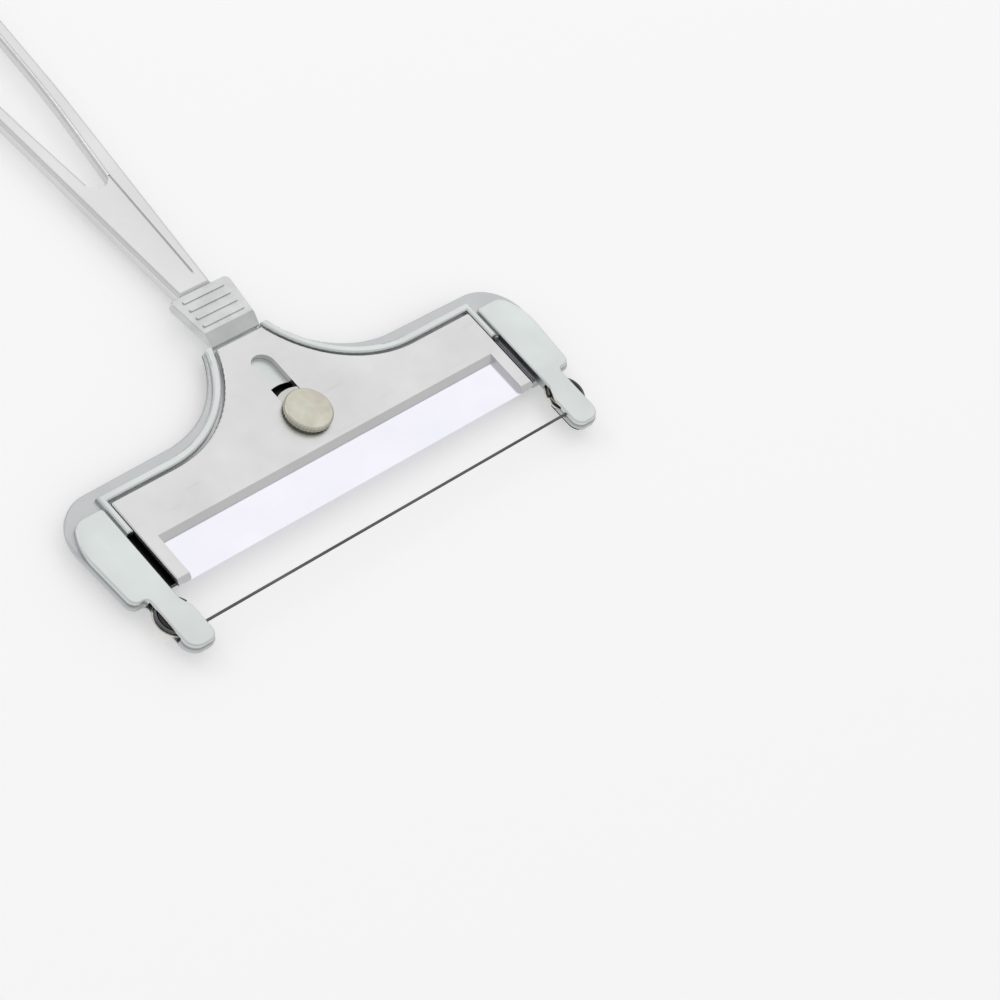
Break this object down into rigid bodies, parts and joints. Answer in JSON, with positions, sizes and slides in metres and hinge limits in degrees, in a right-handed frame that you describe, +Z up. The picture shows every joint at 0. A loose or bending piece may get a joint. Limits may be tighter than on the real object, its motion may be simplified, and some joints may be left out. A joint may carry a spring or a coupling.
{
  "type": "adjustable wire cheese slicer",
  "caption": "Hand slicer with a taut cutting wire between two arms and a sliding plate, clamped by a thumb screw, that sets the slice thickness.",
  "frame": {"origin": "middle of the bottom of the bounding box, with the tool lying on its back", "axes": "+X along the cutting wire, +Y towards the handle's end, +Z up out of the adjusting plate's top face"},
  "size_m": [0.124, 0.205, 0.0065],
  "materials": {
    "cast_frame": "satin",
    "cast_plate": "satin",
    "polished_sole": "polished",
    "rivet_steel": "satin",
    "bush_steel": "satin",
    "washer_steel": "satin",
    "screw_nickel": "satin",
    "wire_steel": "satin",
    "wheel_steel": "polished",
    "sleeve_satin": "satin",
    "handle_polished": "polished"
  },
  "bodies": {
    "body": {"frame": "cast_frame", "guide_bush": "bush_steel", "clamp_washer": "washer_steel", "cutting_wire": "wire_steel", "neck_sleeve": "sleeve_satin", "neck_pin_front": "rivet_steel", "neck_pin_rear": "rivet_steel", "handle": "handle_polished"},
    "plate": {"adjusting_plate": "cast_plate", "sole_strip": "polished_sole", "sole_rivets": "rivet_steel"},
    "thumb": {"thumb_screw": "screw_nickel"},
    "tension_left": {"tension_wheel_left": "wheel_steel"},
    "tension_right": {"tension_wheel_right": "wheel_steel"}
  },
  "joints": [
    {"name": "plate_slide", "type": "slide", "parent": "body", "child": "plate", "axis": [0, -1, 0], "range_m": [0, 0.0075]},
    {"name": "thumb_screw_turn", "type": "hinge", "parent": "body", "child": "thumb", "pos_m": [0, -0.0708, 0.0048], "axis": [0, 0, 1], "range_deg": [0, 360]},
    {"name": "tension_wheel_left_turn", "type": "hinge", "parent": "body", "child": "tension_left", "pos_m": [-0.05435, -0.09405, 0.0042], "axis": [0, 0, 1], "range_deg": [0, 360]},
    {"name": "tension_wheel_right_turn", "type": "hinge", "parent": "body", "child": "tension_right", "pos_m": [0.05435, -0.09405, 0.0042], "axis": [0, 0, 1], "range_deg": [0, 360]}
  ]
}
